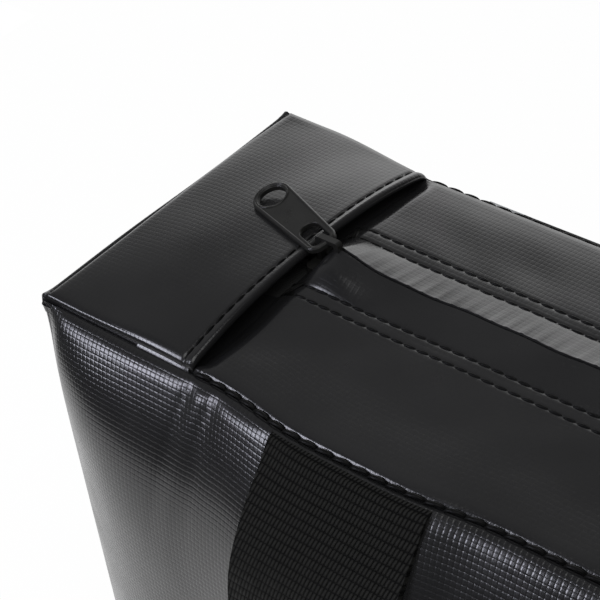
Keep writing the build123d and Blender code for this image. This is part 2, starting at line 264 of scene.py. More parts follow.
def stitch(a, b, radius, flat=0.75):
    """One sewing stitch from a to b: it arches over the fabric and dives in at both ends."""
    shares = np.linspace(0, 1, 9)
    bury = 0.35
    lift = np.sin(np.pi * shares) ** 0.5 * (1 + bury) - bury
    path = a + shares[:, None] * (b - a)
    path[:, 2] += radius * lift
    swell = radius * (0.55 + 0.45 * np.sin(np.pi * shares) ** 0.6)
    return tube(path, swell, sides=8, flat=flat)


def stitch_row(line, start, end, pitch, length, radius, sway, flat=0.75):
    """A row of stitches along line(place in mm) from start to end."""
    parts = []
    for k in range(int((end - start) / pitch)):
        low = start + k * pitch
        a, b = line(low), line(low + length)
        side = np.cross(b - a, [0, 0, 1.0])
        side /= np.linalg.norm(side)
        parts.append(stitch(a + side * sway, b - side * sway, radius, flat=flat))
    return join(parts)


# ---- Materials ----
def plug(tree, value, socket):
    """Puts a plain number or another node's output into a socket."""
    if isinstance(value, (int, float)):
        socket.default_value = value
    else:
        tree.links.new(value, socket)


def math_node(tree, operation, *values):
    """A Math node on sockets or plain numbers. Gives its output socket."""
    node = tree.nodes.new("ShaderNodeMath")
    node.operation = operation
    for slot, value in enumerate(values):
        plug(tree, value, node.inputs[slot])
    return node.outputs[0]


def map_range(tree, value, low, high, start, end, curve="LINEAR"):
    """Maps low...high of a value to start...end, and stays there outside."""
    node = tree.nodes.new("ShaderNodeMapRange")
    node.interpolation_type = curve
    for name, number in (("From Min", low), ("From Max", high), ("To Min", start), ("To Max", end)):
        node.inputs[name].default_value = number
    tree.links.new(value, node.inputs["Value"])
    return node.outputs[0]


def axes_of(tree, kind):
    """The three axes of a kind of texture coordinates."""
    place = tree.nodes.new("ShaderNodeTexCoord")
    parts = tree.nodes.new("ShaderNodeSeparateXYZ")
    tree.links.new(place.outputs[kind], parts.inputs[0])
    return parts.outputs


def uv_cells(tree, pitch_u, pitch_v):
    """The two UV axes, counted in cells of these sizes in millimetres."""
    u, v = axes_of(tree, "UV")[:2]
    return math_node(tree, "DIVIDE", u, pitch_u * MM), math_node(tree, "DIVIDE", v, pitch_v * MM)


def noise(tree, scale, detail=3.0):
    """Noise in object space, so that it stays with the piece."""
    node = tree.nodes.new("ShaderNodeTexNoise")
    node.inputs["Scale"].default_value = scale
    node.inputs["Detail"].default_value = detail
    place = tree.nodes.new("ShaderNodeTexCoord")
    tree.links.new(place.outputs["Object"], node.inputs["Vector"])
    return node.outputs["Fac"]


def plain_weave(tree, u, v):
    """Height of a plain weave, 0 to 1: each yarn rises over one neighbour and dives under the next."""
    node = partial(math_node, tree)
    row_phase = node("ADD", u, node("FLOOR", v))
    column_phase = node("ADD", v, node("ADD", node("FLOOR", u), 1.0))

    def yarn(across, phase, lower):
        inside = node("ABSOLUTE", node("SUBTRACT", node("FRACT", across), 0.5))
        crown = node("SUBTRACT", 1.0 - lower, node("POWER", node("MULTIPLY", inside, 2.0), 3.5))
        swing = node("COSINE", node("MULTIPLY", node("SUBTRACT", phase, 0.5), math.pi))
        flat_top = node("MINIMUM", node("MULTIPLY", swing, 1.6), 1.0)
        return node("MULTIPLY_ADD", flat_top, 0.5, node("MULTIPLY", crown, 0.5))

    return node("SMOOTH_MAX", yarn(v, row_phase, 0.0), yarn(u, column_phase, 0.25), 0.08)


def bump(tree, height, distance, strength=1.0, under=None):
    """Relief of this depth in millimetres, on top of another one."""
    node = tree.nodes.new("ShaderNodeBump")
    node.inputs["Distance"].default_value = distance * MM
    node.inputs["Strength"].default_value = strength
    tree.links.new(height, node.inputs["Height"])
    if under is not None:
        tree.links.new(under, node.inputs["Normal"])
    return node.outputs[0]


def colour_mix(tree, value, dark, light):
    """A colour between two, for a value of 0.3 to 0.7."""
    node = tree.nodes.new("ShaderNodeValToRGB")
    for element, place, colour in zip(node.color_ramp.elements, (0.3, 0.7), (dark, light)):
        element.position = place
        element.color = (*colour, 1)
    tree.links.new(value, node.inputs[0])
    return node.outputs[0]


def roughness(tree, scale, low, high):
    """Roughness that a noise of this scale varies from low to high."""
    return map_range(tree, noise(tree, scale), 0.3, 0.7, low, high)


def new_material(name):
    material = bpy.data.materials.new(name)
    material.use_nodes = True
    return material, material.node_tree


def dress(tree, relief, colour, rough, specular=0.5):
    """Gives a material's shader its relief, colour, roughness and strength of reflection."""
    shader = tree.nodes["Principled BSDF"]
    for name, value in (("Normal", relief), ("Base Color", colour), ("Roughness", rough)):
        tree.links.new(value, shader.inputs[name])
    shader.inputs["Specular IOR Level"].default_value = specular
    shader.inputs["IOR"].default_value = 1.5


def coated_fabric(name, relief):
    """Black plain weave under a thin glossy coat: the coat fills the weave but still follows it."""
    material, tree = new_material(name)
    weave = plain_weave(tree, *uv_cells(tree, WEAVE, WEAVE))
    creases = bump(tree, noise(tree, 45, 1.5), 0.25, 0.5)
    dress(tree, bump(tree, weave, relief, 1.0, creases),
          colour_mix(tree, noise(tree, 25), (0.007, 0.007, 0.0075), (0.011, 0.011, 0.0115)),
          roughness(tree, 90, 0.2, 0.28))
    return material


def webbing_material():
    """Matte black ribbed webbing: rows of slanted ticks across the strap, with painted shade in their
    grooves.
    """
    material, tree = new_material("webbing")
    node = partial(math_node, tree)
    u, v = uv_cells(tree, 0.86, 1.9)
    lean = node("ADD", node("MULTIPLY", node("FRACT", v), 0.5), node("MULTIPLY", node("FLOOR", v), 0.5))
    tick = node("ABSOLUTE", node("SINE", node("MULTIPLY", node("ADD", u, lean), math.pi)))
    rib = node("ABSOLUTE", node("SINE", node("MULTIPLY", v, math.pi)))
    height = node("MULTIPLY", node("POWER", tick, 0.7), node("POWER", rib, 0.5))
    # The colour follows the relief's height: painted shade, darker in the grooves between ribs and ticks.
    dress(tree, bump(tree, height, 0.5, 1.0),
          colour_mix(tree, height, (0.001, 0.001, 0.001), (0.011, 0.011, 0.01)),
          roughness(tree, 300, 0.6, 0.8), 0.12)
    return material


def thread_material(name):
    material, tree = new_material(name)
    dress(tree, bump(tree, noise(tree, 2500), 0.1, 0.6),
          colour_mix(tree, noise(tree, 900), (0.001, 0.001, 0.001), (0.003, 0.003, 0.003)),
          roughness(tree, 600, 0.35, 0.5), 0.1)
    return material


def painted_metal():
    material, tree = new_material("painted_metal")
    dress(tree, bump(tree, noise(tree, 1400), 0.02, 0.5),
          colour_mix(tree, noise(tree, 200), (0.008, 0.008, 0.008), (0.014, 0.014, 0.013)),
          roughness(tree, 350, 0.25, 0.4), 0.35)
    return material


def tape_material():
    """The zip's woven tape, with no coat."""
    material, tree = new_material("zip_tape")
    weave = plain_weave(tree, *uv_cells(tree, 0.5, 0.5))
    dress(tree, bump(tree, weave, 0.2, 0.8),
          colour_mix(tree, noise(tree, 120), (0.006, 0.006, 0.006), (0.012, 0.012, 0.012)),
          roughness(tree, 200, 0.75, 0.9))
    return material


def foam_material():
    material, tree = new_material("padding")
    dress(tree, bump(tree, noise(tree, 1500, 5.0), 0.3, 0.7),
          colour_mix(tree, noise(tree, 400), (0.5, 0.5, 0.48), (0.62, 0.62, 0.6)),
          roughness(tree, 300, 0.85, 0.95))
    return material


def lining_material():
    """Pale woven lining, also for CAD nodes, which have no UVs: threads along the three axes of the part."""
    material, tree = new_material("lining")
    node = partial(math_node, tree)
    waves_per_metre = 1 / (0.9 * MM)
    waves = [node("SINE", node("MULTIPLY", axis, 2 * math.pi * waves_per_metre))
             for axis in axes_of(tree, "Object")]
    height = node("ADD", node("MULTIPLY", node("MULTIPLY", waves[0], waves[2]), 0.5),
                  node("MULTIPLY", waves[1], 0.4))
    dress(tree, bump(tree, height, 0.12, 0.7),
          colour_mix(tree, noise(tree, 150), (0.3, 0.31, 0.32), (0.4, 0.41, 0.42)),
          roughness(tree, 200, 0.5, 0.7))
    return material


FABRIC = coated_fabric("coated_fabric", 0.05)
TOP_FABRIC = coated_fabric("coated_fabric_pulled_flat", 0.02)
WEBBING = webbing_material()
THREAD = thread_material("thread")
METAL = painted_metal()
TAPE = tape_material()
COIL = thread_material("zip_coil")
FOAM = foam_material()
LINING = lining_material()


# ---- Walls ----
def rim(distance, height, reach):
    """The puffed edge of a padded panel: it rises out of the seam's groove over its first millimetres."""
    share = np.clip(np.asarray(distance, float) / reach, 0, 1)
    return height * np.sqrt(1 - (1 - share) ** 2)


def wall_relief(x, drop):
    """Puffs and creases of the wall under the top seam, by their place along it and their drop."""
    run = from_end(x)
    fade = np.exp(-drop / 13)
    puffs = 0.3 * hump(30, 10, run) + 0.55 * hump(46.8 - 0.16 * drop, 1.7, run) + 0.45 * hump(56, 6, run)
    creases = 0.45 * hump(43.4 - 0.2 * drop, 1.3, run) + 0.4 * hump(50.4 - 0.1 * drop, 1.7, run)
    creases += 0.25 * hump(65.5, 2.4, run)
    waves = 0.25 * np.sin(run / 17.0 + 1.3) * np.sin(drop / 23.0 + 0.4)
    return (puffs - creases) * fade * smooth(0, 2.0, drop) + waves * smooth(4, 20, drop) * smooth(8, 40, run)


def shoulder(drop, reach):
    """Share of the bulge that a wall has reached this far from its seam."""
    return math.tanh(max(drop, 0.0) / reach)


def wall_rows():
    """The wall's rows: how far in and down the tucked ones lie, and how far below the seam the others."""
    tuck = [(-0.4, -GROOVE), (-0.3, -1.7), (-0.2, -1.0), (-0.05, -0.5), (0.12, -0.18)]
    drops = list(np.linspace(0, 1, 24)[1:] ** 1.7 * 12.0)
    while drops[-1] < TOP_Z - WALL_HEM:
        drops.append(drops[-1] + min(2.4, 0.9 + 0.02 * drops[-1]))
    left = TOP_Z - drops[-1]
    drops += [TOP_Z - left * (1 - math.sin(share * math.pi / 2)) for share in np.linspace(0, 1, 9)[1:]]
    return tuck, drops


def side_bulge(run, middle, reach):
    """Bulge along a side of the plan, from its corner to its middle."""
    return 0.3 + (middle - 0.3) * (1 - np.exp(-((run / reach) ** 1.15)))


def wall_stations():
    """The plan of the walls as (side, place). The place is x on the long sides, y on the ends, and a corner's
    two signs and share of its turn."""
    fine = np.arange(-SEAM_X, -35, 0.8)
    front = np.concatenate([fine, np.arange(fine[-1] + 1.6, SEAM_X, 2.0), [SEAM_X]])
    back = np.arange(SEAM_X, -SEAM_X - 1, -2.0)
    end = np.linspace(-SEAM_Y, SEAM_Y, 40)
    turn = np.linspace(0, 1, 12)[1:-1]
    stations = [("front", x) for x in front] + [("corner", (1, -1, share)) for share in turn]
    stations += [("right", y) for y in end] + [("corner", (1, 1, 1 - share)) for share in turn]
    stations += [("back", x) for x in back] + [("corner", (-1, 1, share)) for share in turn]
    stations += [("left", y) for y in end[::-1]] + [("corner", (-1, -1, 1 - share)) for share in turn]
    return stations


def wall_point(station, drop, tuck=0.0):
    """A point of the walls' outer face, this far below the top seams."""
    height = TOP_Z - drop
    corner = SEAM_CORNER + (CORNER - SEAM_CORNER) * smooth(0, 14, drop)
    corner = float(min(corner, HEM_CORNER + (CORNER - HEM_CORNER) * shoulder(height, HEM_CORNER)))
    side, place = station
    if side == "corner":
        sx, sy, share = place
        start = wall_point(("front" if sy < 0 else "back", sx * SEAM_X), drop, tuck)
        end = wall_point(("left" if sx < 0 else "right", sy * SEAM_Y), drop, tuck)
        reach = 0.4 + tuck
        tip = np.array([sx * (SEAM_X + reach), sy * (SEAM_Y + reach), start[2]])
        return (1 - share) ** 2 * start + 2 * share * (1 - share) * tip + share ** 2 * end
    run = puff = seam = 0.0
    if side in ("front", "back"):
        x = place * (SEAM_X - corner) / SEAM_X
        run = SEAM_X - abs(x)
        bulge = side_bulge(run, WIDE_BULGE, 19.0)
        relief = wall_relief(x, drop)
        if side == "front":
            seam = front_seam(x)
            puff = float(rim(drop, SEAM_PUFF, 2.6) * smooth(0, 8, run))
        else:
            seam = back_seam(x)
    else:
        y = place * (SEAM_Y - corner) / SEAM_Y
        bulge = side_bulge(SEAM_Y - abs(y), END_BULGE, 12.0)
        relief = 0.15 * wall_relief(y * 3, drop)
    along = float(smooth(0, 45, run))
    high = shoulder(drop, SHOULDER[0] + (SHOULDER[1] - SHOULDER[0]) * along)
    low = shoulder(height, SHOULDER[0] + (HEM_SHOULDER - SHOULDER[0]) * along)
    out = (bulge * high + relief + puff) * low + seam * (1 - smooth(10, 120, drop)) + tuck
    if side in ("front", "back"):
        return np.array([x, sign_of(side) * (SEAM_Y + out), max(height, 0.0)])
    return np.array([(SEAM_X + out) * (-1 if side == "left" else 1), y, max(height, 0.0)])


def wall_grid():
    """Points of the walls' outer face, row by row from the groove to the middle of the underside."""
    stations = wall_stations()
    tuck, drops = wall_rows()
    rows = [[wall_point(s, 0.0, inward) + (0, 0, dive) for s in stations] for inward, dive in tuck]
    rows += [[wall_point(s, drop, WALL_STAND) for s in stations] for drop in drops]
    hem = np.array(rows[-1])
    for inset in BASE_INSETS:
        limit = np.array([SEAM_X - inset, SEAM_Y - inset])
        flat = np.clip(hem[:, :2], -limit, limit)
        rows.append(np.column_stack([flat, np.zeros(len(flat))]))
    return np.array(rows), len(tuck)


def build_walls():
    """The walls and the underside as one closed skin."""
    grid, tucked = wall_grid()
    rows, columns = grid.shape[:2]
    closed = np.concatenate([grid, grid[:, :1]], axis=1)
    around = arc_lengths(closed, 1)[tucked + 20, :columns]  # measured once the bulge has formed
    down = arc_lengths(grid, 0)
    uv = np.stack([np.broadcast_to(around, down.shape), down], axis=2)
    normal = np.cross(np.roll(grid, -1, axis=1) - np.roll(grid, 1, axis=1), np.gradient(grid, axis=0))
    normal /= np.maximum(np.linalg.norm(normal, axis=2, keepdims=True), 1e-9)
    upright = slice(tucked, -len(BASE_INSETS) - 1)
    if np.mean(np.sum(normal[upright] * (grid[upright] - (0, 0, TOP_Z / 2)), axis=2)) < 0:
        normal = -normal
    inner = grid - normal * SKIN
    inner[:, :, 2] = np.maximum(inner[:, :, 2], 0.8 * SKIN)
    count = rows * columns
    faces = grid_faces(rows, columns, ring=True)
    faces += grid_faces(rows, columns, start=count, flip=True, ring=True)
    for start, flip in ((0, False), ((rows - 1) * columns, True)):
        for j in range(columns):
            k = (j + 1) % columns
            quad = (start + j, start + k, count + start + k, count + start + j)
            faces.append(quad[::-1] if flip else quad)
    points = np.concatenate([grid.reshape(-1, 3), inner.reshape(-1, 3)])
    piece = put_mesh("bag_walls", points, faces, FABRIC, np.concatenate([uv.reshape(-1, 2)] * 2))
    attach(piece, "shell")
    for face in ("front", "back", "left_end", "right_end", "bottom"):
        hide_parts(f"{face}_panel", f"{face}_padding")


# ---- Top of the bag ----
def yoke_height(run, y, front, back):
    """Height of the left yoke above the seams, at this run from the end seam."""
    wide = (np.asarray(y, float) + front) / (front + back) * 2 - 1
    length = FOLD_X + SEAM_X
    crown = YOKE_CROWN * (1 - np.abs(wide) ** 2.3) * (run / length) ** 0.62
    edge = np.minimum(np.minimum(y + front, back - y), run)
    puff = rim(edge, 1.9, 2.3) * (0.85 + 0.15 * np.sin(run / 7.0 + y / 13.0))
    row = 0.25 * hump(length - YOKE_HEM, 0.4, run)
    rope = 0.5 * np.clip((run - length + YOKE_HEM) / YOKE_HEM, 0, 1)
    ripple = 0.12 * np.sin(run / 4.0 + 0.8) * np.sin(y / 9.0)
    return crown + puff - row + rope + ripple * smooth(0, 5, edge)


def build_yoke(mirror):
    """A yoke: crowned, puffed along its seams and doubled along its folded edge."""
    length = FOLD_X + SEAM_X
    fold = length - FOLD_ROUND
    runs = np.concatenate([[-0.35, -0.2, 0.0, 0.3, 0.7, 1.2, 1.8, 2.5, 3.3], np.arange(4.2, length - 4, 1.2),
                           np.arange(length - 3.9, length - 0.9, 0.3)])
    rows = [(run, 0.0) for run in runs]  # where each row lies, and how far under the yoke's surface
    rows += [(fold + FOLD_ROUND * math.cos(angle), FOLD_ROUND * (1 - math.sin(angle)))
             for angle in np.radians(np.linspace(90, -90, 11))]
    rows += [(fold - back_off, 2 * FOLD_ROUND) for back_off in (0.5, 2.0, 4.0, 7.0, 11.0, 14.0)]
    wide = np.sin(np.linspace(-math.pi / 2, math.pi / 2, 111))  # finer towards the seams
    points = np.zeros((len(rows), len(wide), 3))
    for i, (run, depth) in enumerate(rows):
        x = run - SEAM_X
        front, back = seam_at("front", x), seam_at("back", x)
        for j, w in enumerate(wide):
            y = -front + (w + 1) / 2 * (front + back)
            z = TOP_Z - depth + float(yoke_height(max(min(run, fold), 0.0), y, front, back))
            edge = min(y + front, back - y, run)
            z -= GROOVE * (1 - float(smooth(-0.3, 0.5, edge)))
            points[i, j] = (x, y, z)
    uv = np.stack([arc_lengths(points, 1), arc_lengths(points, 0)], axis=2)
    half = half_of(mirror)
    piece = put_sheet(f"{half}_yoke_cover", points, uv, 0.9, TOP_FABRIC, mirror)
    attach(piece, "shell")
    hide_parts(f"{half}_yoke", f"{half}_yoke_padding")


def ridge(x):
    """Height of a lip's edge above the seams: high over the slider, then in shallow waves."""
    run = from_end(x)
    over_slider = 2.1 * hump(47, 9, run)
    waves = 0.25 * np.sin(run / 8.5 + 2.2) + 0.07 * np.sin(run / 3.4)
    dive = 5.0 * (1 - smooth(FOLD_X + SEAM_X - 3.0, FOLD_X + SEAM_X + 7.0, run))
    return 4.7 + over_slider + waves * smooth(52, 64, run) - dive


def flap_height(x, y, seam, dome=0.0):
    """Height of a flap above the seams, at y from the middle of the zip, with the seam at y = seam."""
    run = from_end(x)
    row = ROWS[0]
    climb = np.clip((seam - y) / (seam - row), 0, 1)
    base = 2.2 + dome * (0.6 + 0.4 * np.exp(-np.abs(run - 44) / 25))
    slope = base * (0.5 * smooth(0, 1, climb) + 0.5 * climb)
    if dome:
        slope = base * (1 - (1 - climb) ** 1.5)
    lip = ridge(x) + (0.12 + 0.2 * np.maximum(0, np.sin(run * 1.85)) ** 4 if dome else 0.0)
    share = np.clip((row - y) / row, 0, 1)
    rise = (lip - base) * share ** 0.92
    if not dome:
        rise = rise + 0.7 * smooth(0.0, 4.5, 9.0 - y) * hump(50, 6, run) * smooth(0, 5.0, y)
    puff = rim(seam - y, 1.2, 2.6) * (1 - smooth(row - 3, row + 10, seam - y) * 0.4)
    rows = sum(0.13 * hump(place, 0.4, y) for place in ROWS)
    sag = (0.0 if dome else 0.5) * hump(24, 9, y) * (0.6 + 0.4 * np.sin(run / 19.0))
    ripple = 0.05 * np.sin(run / 3.1 + y / 2.0) * hump(0, 22, y)
    ripple += 0.08 * np.sin(run / 6.7 + 1.0) * np.sin(y / 5.5)
    under_yoke = 1 - smooth(FOLD_X + SEAM_X - 0.5, FOLD_X + SEAM_X + 4.5, run)
    height = np.where(y > row, slope, base + rise) + puff - rows - sag + ripple
    return height - under_yoke * 1.6 * smooth(0, 4, seam - y)


def flap_profile(seam, lip_y):
    """Places across a flap, from its seam to its lip: fine at the seam, at the stitch rows and at the lip."""
    places = [seam + 0.25, seam, seam - 0.3, seam - 0.8, seam - 1.5, seam - 2.4]
    places += list(np.linspace(seam - 3.4, 14, 18))
    places += list(np.linspace(13.2, 7.2, 26))
    places += list(np.linspace(6.6, lip_y + 0.5, 12)) + [lip_y + 0.2, lip_y]
    return np.array(places)


def flap_stations():
    """Places along the left half of a flap: fine beside the yoke, coarser towards the middle of the bag."""
    fine = np.arange(TONGUE_X, -35, 0.7)
    return np.concatenate([fine, np.linspace(fine[-1] + 1.2, 0.0, 34)])


def along_uvs(stations, points):
    """UVs of a grid whose rows lie at these places along the bag."""
    return np.stack([np.broadcast_to(stations[:, None], points.shape[:2]), arc_lengths(points, 1)], axis=2)


def lip_wave(x):
    """The lips meet along a slightly wavy line."""
    run = from_end(x)
    return 0.25 * np.sin(run / 6.0 + 0.5) + 0.12 * np.sin(run / 2.4)


def build_flap(side, mirror):
    """One half of a flap, from under the yoke to the middle of the bag."""
    lip_y, dome = (LIP_FRONT, 0.0) if side == "front" else (LIP_BACK, FAR_DOME)
    stations = flap_stations()
    rows = []
    for x in stations:
        seam = seam_at(side, x)
        places = flap_profile(seam, lip_y)
        under = float(1 - smooth(FOLD_X - 0.5, FOLD_X + 0.5, x))
        groove = GROOVE * (1 - smooth(-0.25, 0.5, seam - places))
        rows.append(np.column_stack([np.full(len(places), x),
                                     sign_of(side) * places + lip_wave(x) * hump(0, 5, places),
                                     TOP_Z + flap_height(x, places, seam, dome) - groove - 0.6 * under]))
    points = np.array(rows)
    points[:, -1, 2] -= 0.5  # the lip's edge rolls down a little
    name = f"{side}_{half_of(mirror)}_flap_cover"
    piece = put_sheet(name, points, along_uvs(stations, points), 1.0, TOP_FABRIC, mirror)
    bend_with_flap(piece)
    return piece


def bend_with_flap(piece):
    """Bakes the piece's placement into its mesh."""
    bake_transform(piece)


def build_flaps():
    for side in ("front", "back"):
        for mirror in (False, True):
            piece = build_flap(side, mirror)
            build_flap_lining(side, mirror)
            build_flap_stitches(side, mirror)
            build_tape(side, mirror)
            build_coil(side, mirror)
            if not mirror:
                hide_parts(f"{side}_flap", f"{side}_flap_padding")
            elif side == "front":
                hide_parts("left_flap_ends", "right_flap_ends")


def build_flap_lining(side, mirror):
    """The padded underside of a flap."""
    stations = np.linspace(MOVE_X + 1.0, 0, 60)
    shares = np.linspace(0, 1, 24)
    seam = SEAM_Y - 1.4
    places = seam + (17.0 - seam) * shares
    quilt = 2.4 * np.minimum(1, np.sqrt(np.sin(np.pi * shares) + 0.05))
    points = np.array([np.column_stack([np.full(len(places), x), sign_of(side) * places,
                                        TOP_Z + flap_height(x, places, SEAM_Y) - 1.3 - quilt])
                       for x in stations])
    name = f"{side}_{half_of(mirror)}_flap_lining_cover"
    piece = put_sheet(name, points, along_uvs(stations, points), 0.6, LINING, mirror)
    bend_with_flap(piece)
    if not mirror:
        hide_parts(f"{side}_flap_lining")


def flap_surface(side, x, y):
    """A point of a flap's top face at y from the middle of the zip."""
    dome = 0.0 if side == "front" else FAR_DOME
    height = float(flap_height(x, np.array([y]), seam_at(side, x), dome)[0])
    return np.array([x, sign_of(side) * y, TOP_Z + height - 0.08])


def build_flap_stitches(side, mirror):
    """Two rows of stitches beside the zip, and a small cross tack where they start."""
    rows = []
    for place in ROWS:
        rows.append(stitch_row(lambda run, y=place: flap_surface(side, run, y), FOLD_X + 0.4, 0.0,
                               *FLAP_STITCH, sway=0.12))
    tack = FOLD_X + 1.6
    for lean in (-1, 1):
        for shift in (-0.4, 0.4):
            rows.append(stitch(flap_surface(side, tack - 1.2 + shift, 10 + 2.2 * lean),
                               flap_surface(side, tack + 1.2 + shift, 10 - 2.2 * lean), FLAP_STITCH[2]))
    piece = put_half(f"{side}_{half_of(mirror)}_flap_stitches", *join(rows), THREAD, mirror)
    bend_with_flap(piece)


def build_tape(side, mirror):
    """The zip's tape under the flap."""
    stations = np.linspace(corners("left_zip_tape_ends")[0][0], 0, 90)
    places = np.array([16.0, 13.0, 11.0, 8.4, 6.0, 4.0, 2.2])
    heights = TAPE_Z - 0.175 * np.clip(places - ROWS[0], 0, None)
    points = np.array([np.column_stack([np.full(len(places), x), sign_of(side) * places, heights])
                       for x in stations])
    name = f"{side}_{half_of(mirror)}_zip_tape_cover"
    piece = put_sheet(name, points, along_uvs(stations, points), 0.5, TAPE, mirror)
    bend_with_flap(piece)
    if not mirror:
        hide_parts(f"{side}_zip_tape")
    elif side == "front":
        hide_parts("left_zip_tape_ends", "right_zip_tape_ends")


def build_coil(side, mirror):
    """The zip's coil as its turns, each a bent loop of monofilament round the tape's edge."""
    middle = (COIL_LOW[2] + COIL_HIGH[2]) / 2
    start = corners("left_zip_coil_ends")[0][0]
    outer, inner = 2.2, 0.35
    offset = 0.0 if side == "front" else COIL_PITCH / 2
    turn = 2 * np.pi * np.arange(14) / 14
    loops = []
    for x in np.arange(start + 0.6, -0.3, COIL_PITCH):
        path = np.column_stack([x + offset + 0.18 * np.cos(turn),
                                sign_of(side) * ((outer + inner) / 2 - (outer - inner) / 2 * np.cos(turn)),
                                middle + 0.62 * np.sin(turn)])
        loops.append(tube(path, 0.27, sides=6, ring=True))
    piece = put_half(f"{side}_{half_of(mirror)}_zip_coil_turns", *join(loops), COIL, mirror)
    bend_with_flap(piece)
    if not mirror:
        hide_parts(f"{side}_zip_coil")
    elif side == "front":
        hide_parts("left_zip_coil_ends", "right_zip_coil_ends")


# ---- Stitches along the seams ----
def seam_point(side, x):
    return np.array([x, sign_of(side) * (seam_at(side, x) + 0.1), TOP_Z + SEAM_THREAD[side][1]])


def build_seam_stitches():
    """The thick stitches in the top seams, from yoke to yoke."""
    for side, (radius, _) in SEAM_THREAD.items():
        row = stitch_row(partial(seam_point, side), FOLD_X + 1.0, -FOLD_X - 1.0, *SEAM_STITCH, radius,
                         sway=0.18, flat=0.8)
        piece = put_mesh(f"{side}_seam_stitches", *row, THREAD)
        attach(piece, "shell")


def build_yoke_stitches(mirror):
    """The row of stitches along a yoke's folded edge."""
    x = FOLD_X - YOKE_HEM
    front, back = seam_at("front", FOLD_X), seam_at("back", FOLD_X)

    def line(y):
        return np.array([x, y, TOP_Z + float(yoke_height(x + SEAM_X, y, front, back))])

    row = stitch_row(line, 1.0 - front, back - 1.0, *FLAP_STITCH, sway=0.1)
    piece = put_half(f"{half_of(mirror)}_yoke_stitches", *row, THREAD, mirror)
    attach(piece, "shell")


def build_end_roll(mirror):
    """The rolled seam along the end of the top, with a small folded tip at each corner."""
    reach = SEAM_Y + 0.6
    y = np.linspace(-reach, reach, 60)
    tip = hump(SEAM_Y, 2.2, np.abs(y))
    path = np.column_stack([0.2 * np.sin(y / 9.0) + 0.3 * tip - SEAM_X - 0.55, y, TOP_Z - 0.35 - 0.5 * tip])
    end = smooth(SEAM_Y - 0.6, reach, np.abs(y))
    swell = (0.75 + 0.9 * tip) * np.sqrt(np.clip(1 - end ** 2, 0.02, 1))
    points, faces = tube(path, swell, sides=12, flat=1.25)
    piece = put_half(f"{half_of(mirror)}_end_seam_roll", points, faces, FABRIC, mirror, points[:, 1:])
    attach(piece, "shell")


# ---- Handles ----
def build_handle(side):
    """Webbing that leaves the top seam flat, turns down over the wall's shoulder and hangs in a U."""
    sign = sign_of(side)
    band = HANDLE_HIGH[0] - HANDLE_LOW[0] - LEG_SPACING  # webbing width
    leg_x = LEG_SPACING / 2
    drop = TOP_Z - HANDLE_LOW[2] - leg_x - band / 2
    lead = np.concatenate([[-2.4, -1.2, 0.0], np.cumsum(np.full(int(drop), 1.0))])
    turn = np.radians(np.arange(2, 179, 2))
    across = np.concatenate([[-1.0, -0.985], np.linspace(-0.96, 0.96, 34), [0.985, 1.0]])
    rows = []
    for down in lead:
        rows.append([(-leg_x + a * band / 2, down) for a in across])
    for angle in turn:
        radius = leg_x - across * band / 2
        rows.append([(-r * math.cos(angle), drop + r * math.sin(angle)) for r in radius])
    for down in lead[::-1]:
        rows.append([(leg_x - a * band / 2, down) for a in across])
    points = np.zeros((len(rows), len(across), 3))
    for i, row in enumerate(rows):
        for j, (x, down) in enumerate(row):
            if down <= 0:
                y = seam_at(side, x) + WALL_STAND + 0.3 * down
                points[i, j] = (x, sign * y, TOP_Z - 0.1 + 0.8 * down)
                continue
            wall = wall_point((side, x * SEAM_X / (SEAM_X - CORNER)), down, WALL_STAND)
            curl = abs(across[j]) ** 4  # the webbing's edges lift off the wall
            stand = 0.5 + 2.4 * float(smooth(4, 26, down)) + 0.6 * curl * float(smooth(2, 10, down))
            y = abs(wall[1]) + stand
            slant = math.copysign(1.5, x) * float(smooth(0, 40, down))
            slant *= float(1 - smooth(0.4, 0.9, abs(down - drop / 2) / drop)) if down > drop else 1.0
            points[i, j] = (x + slant, sign * y, TOP_Z - down + 0.9 * math.exp(-down / 2.0))
    along = arc_lengths(points, 0)[:, len(across) // 2]
    uv = np.stack([np.broadcast_to((across + 1) * band / 2, points.shape[:2]),
                   np.broadcast_to(along[:, None], points.shape[:2])], axis=2)
    if grid_normals(points)[20, 15, 1] * sign < 0:
        points, uv = points[:, ::-1], uv[:, ::-1]
    slab_points, faces, slab_uv = slab(points, 1.5, uv)
    piece = put_mesh(f"{side}_handle_webbing", slab_points, faces, WEBBING, slab_uv, sharp=60)
    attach(piece, f"handle_{side}")
    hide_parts(f"{side}_handle")


# ---- Pull tab ----
TAB_TURN, TAB_ROLL = -8.0, -13.0  # its loose fit on the bail lets it lie a little askew
TAB_SHIFT = (-0.3, -0.8, 0.6)
TAB_TILT = 4.0  # from its cross bar down to its free end
TAB_LENGTH, TAB_END, TAB_HOLE = 22.6, 4.3, 3.0  # cross bar to hole, radius of the end and of the hole
TAB_FOOT, TAB_FOOT_ROUND, TAB_THICK = 3.5, 2.6, 1.2
TAB_BEVEL = 0.22


def tab_frame():
    """Matrix from the tab's own plane to the part: x runs to the free end, z up off the plate."""
    joint = JOINTS["tab_lift"]
    axis = Vector(joint["axis"]).normalized()
    pivot = Vector(joint["pos_m"])
    tilt = math.radians(TAB_TILT)
    flat = axis.cross(Vector((0, 0, 1)))
    if flat.x > 0:
        flat = -flat
    length_way = flat * math.cos(tilt) - Vector((0, 0, 1)) * math.sin(tilt)
    up = flat * math.sin(tilt) + Vector((0, 0, 1)) * math.cos(tilt)
    side_way = up.cross(length_way)
    rotation = Matrix((length_way, side_way, up)).transposed().to_4x4()
    askew = Matrix.Rotation(math.radians(-TAB_TURN), 4, "Z")
    roll = Matrix.Rotation(math.radians(TAB_ROLL), 4, "X")
    return Matrix.Translation(pivot + Vector(TAB_SHIFT) * MM) @ askew @ rotation @ roll


